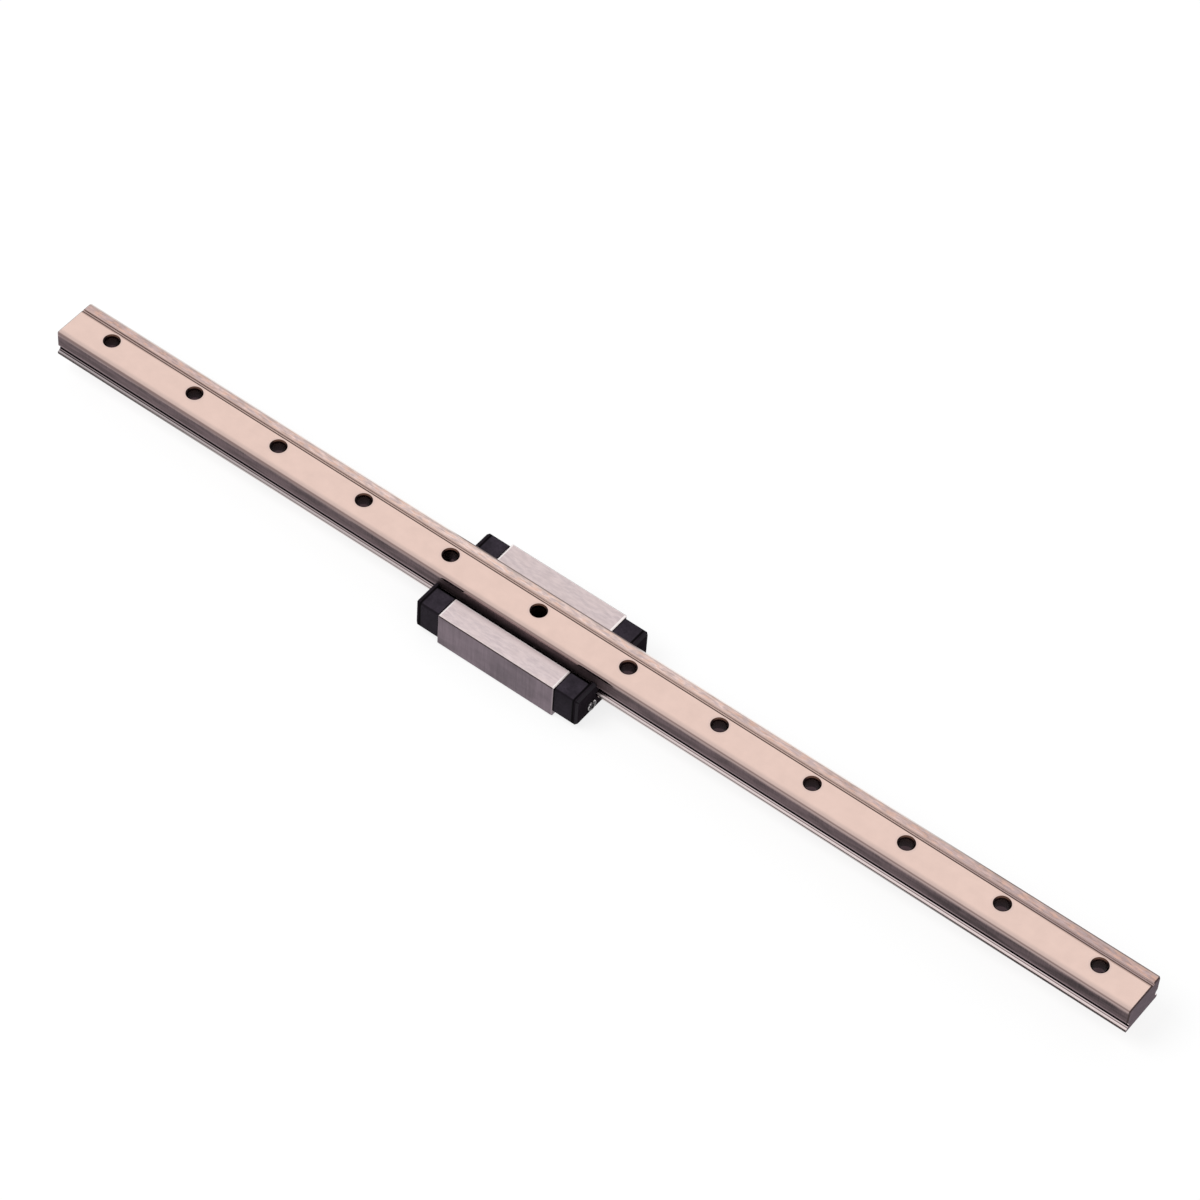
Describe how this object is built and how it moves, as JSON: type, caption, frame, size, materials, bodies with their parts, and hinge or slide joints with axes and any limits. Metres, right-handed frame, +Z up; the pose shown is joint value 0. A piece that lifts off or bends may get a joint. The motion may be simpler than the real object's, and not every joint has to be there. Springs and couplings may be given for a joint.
{
  "type": "linear guide rail",
  "caption": "Miniature profiled linear guide: ground steel rail with gothic raceways and counterbored holes, and a recirculating-ball carriage with black end caps.",
  "frame": {"origin": "middle of the rail's length and width, at the level of the carriage's mounting face", "axes": "+X along the rail, +Y towards the datum groove, +Z up from the carriage to the rail's base"},
  "size_m": [0.2982, 0.027, 0.013],
  "materials": {
    "rail_steel": "ground satin",
    "block_steel": "ground",
    "cap_plastic": "moulded matte",
    "seal_rubber": "matte",
    "screw_steel": "nickel plated",
    "ball_steel": "polished"
  },
  "bodies": {
    "rail": {"rail": "rail_steel"},
    "carriage": {"carriage_block": "block_steel", "end_cap_left": "cap_plastic", "end_cap_right": "cap_plastic", "end_seal_left": "seal_rubber", "end_seal_right": "seal_rubber", "end_screw_left_near": "screw_steel", "end_screw_left_far": "screw_steel", "end_screw_right_near": "screw_steel", "end_screw_right_far": "screw_steel", "ball_circuit_near": "ball_steel", "ball_circuit_far": "ball_steel"}
  },
  "joints": [
    {"name": "carriage_slide", "type": "slide", "parent": "rail", "child": "carriage", "axis": [1, 0, 0], "range_m": [-0.1123, 0.1405]}
  ]
}
